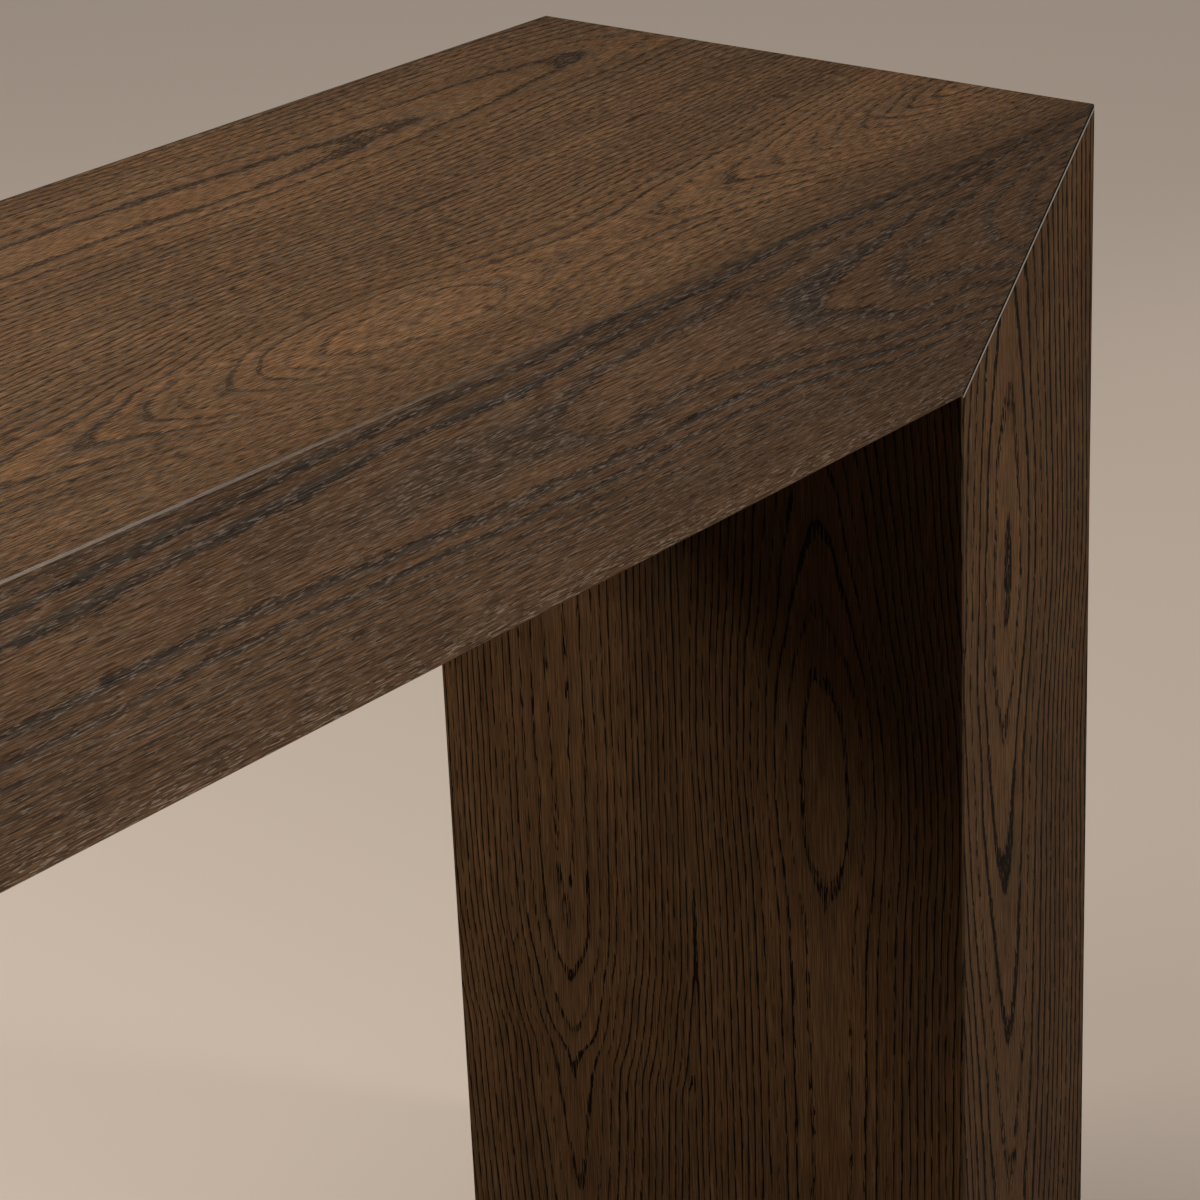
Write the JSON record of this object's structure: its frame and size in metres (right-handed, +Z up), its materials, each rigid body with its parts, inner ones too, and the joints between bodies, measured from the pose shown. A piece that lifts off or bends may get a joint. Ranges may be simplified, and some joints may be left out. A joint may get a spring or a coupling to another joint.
{
  "type": "waterfall hallway table",
  "caption": "Long narrow hallway table in dark-stained oak: a thick top turns down through mitred corners into two thick slab legs, so the grain and outline run on like a waterfall.",
  "frame": {"origin": "on the floor below the middle of the table", "axes": "+X along the length to the right seen from the front, +Y from front to back, +Z up"},
  "size_m": [1.524, 0.381, 0.762],
  "materials": {
    "stained_oak": "dark-stained open-pore oak veneer, brushed, matt lacquer",
    "base_ply": "plywood sealed with dark stain",
    "plain_ply": "bare sanded plywood",
    "beech": "bare beech, fluted",
    "softwood": "bare planed softwood",
    "pad_plastic": "moulded black nylon",
    "zinc_steel": "bright zinc plate"
  },
  "bodies": {
    "table": {"centre_stringer": "softwood", "front_apron": "stained_oak", "front_lower_spline": "plain_ply", "front_upper_spline": "plain_ply", "left_base_board": "base_ply", "left_base_cleats": "softwood", "left_corner_tenons": "beech", "left_foot_inserts": "zinc_steel", "left_leg_bulkhead": "plain_ply", "left_leg_front_board": "stained_oak", "left_leg_inner_panel": "stained_oak", "left_leg_outer_panel": "stained_oak", "left_leg_rear_board": "stained_oak", "left_leg_rib_1": "plain_ply", "left_leg_rib_2": "plain_ply", "left_leg_splines": "plain_ply", "left_top_bulkhead": "plain_ply", "rear_apron": "stained_oak", "rear_lower_spline": "plain_ply", "rear_upper_spline": "plain_ply", "right_base_board": "base_ply", "right_base_cleats": "softwood", "right_corner_tenons": "beech", "right_foot_inserts": "zinc_steel", "right_leg_bulkhead": "plain_ply", "right_leg_front_board": "stained_oak", "right_leg_inner_panel": "stained_oak", "right_leg_outer_panel": "stained_oak", "right_leg_rear_board": "stained_oak", "right_leg_rib_1": "plain_ply", "right_leg_rib_2": "plain_ply", "right_leg_splines": "plain_ply", "right_top_bulkhead": "plain_ply", "soffit_panel": "stained_oak", "top_panel": "stained_oak", "top_rib_1": "plain_ply", "top_rib_2": "plain_ply", "top_rib_3": "plain_ply", "top_rib_4": "plain_ply", "top_rib_5": "plain_ply"},
    "left_front_pad": {"left_front_foot_pad": "pad_plastic"},
    "left_front_stud": {"left_front_foot_stud": "zinc_steel"},
    "left_rear_pad": {"left_rear_foot_pad": "pad_plastic"},
    "left_rear_stud": {"left_rear_foot_stud": "zinc_steel"},
    "right_front_pad": {"right_front_foot_pad": "pad_plastic"},
    "right_front_stud": {"right_front_foot_stud": "zinc_steel"},
    "right_rear_pad": {"right_rear_foot_pad": "pad_plastic"},
    "right_rear_stud": {"right_rear_foot_stud": "zinc_steel"}
  },
  "joints": [
    {"name": "left_front_rise", "type": "slide", "parent": "table", "child": "left_front_pad", "axis": [0, 0, -1], "range_m": [0, 0.012]},
    {"name": "left_front_turn", "type": "hinge", "parent": "left_front_pad", "child": "left_front_stud", "pos_m": [-0.6985, -0.1325, 0], "axis": [0, 0, -1], "range_deg": [0, 3460]},
    {"name": "left_rear_rise", "type": "slide", "parent": "table", "child": "left_rear_pad", "axis": [0, 0, -1], "range_m": [0, 0.012]},
    {"name": "left_rear_turn", "type": "hinge", "parent": "left_rear_pad", "child": "left_rear_stud", "pos_m": [-0.6985, 0.1325, 0], "axis": [0, 0, -1], "range_deg": [0, 3460]},
    {"name": "right_front_rise", "type": "slide", "parent": "table", "child": "right_front_pad", "axis": [0, 0, -1], "range_m": [0, 0.012]},
    {"name": "right_front_turn", "type": "hinge", "parent": "right_front_pad", "child": "right_front_stud", "pos_m": [0.6985, -0.1325, 0], "axis": [0, 0, -1], "range_deg": [0, 3460]},
    {"name": "right_rear_rise", "type": "slide", "parent": "table", "child": "right_rear_pad", "axis": [0, 0, -1], "range_m": [0, 0.012]},
    {"name": "right_rear_turn", "type": "hinge", "parent": "right_rear_pad", "child": "right_rear_stud", "pos_m": [0.6985, 0.1325, 0], "axis": [0, 0, -1], "range_deg": [0, 3460]}
  ],
  "couplings": [
    {"joint": "left_front_turn", "follows": "left_front_rise", "rad_per_m": 5026.5},
    {"joint": "left_rear_turn", "follows": "left_rear_rise", "rad_per_m": 5026.5},
    {"joint": "right_front_turn", "follows": "right_front_rise", "rad_per_m": 5026.5},
    {"joint": "right_rear_turn", "follows": "right_rear_rise", "rad_per_m": 5026.5}
  ]
}
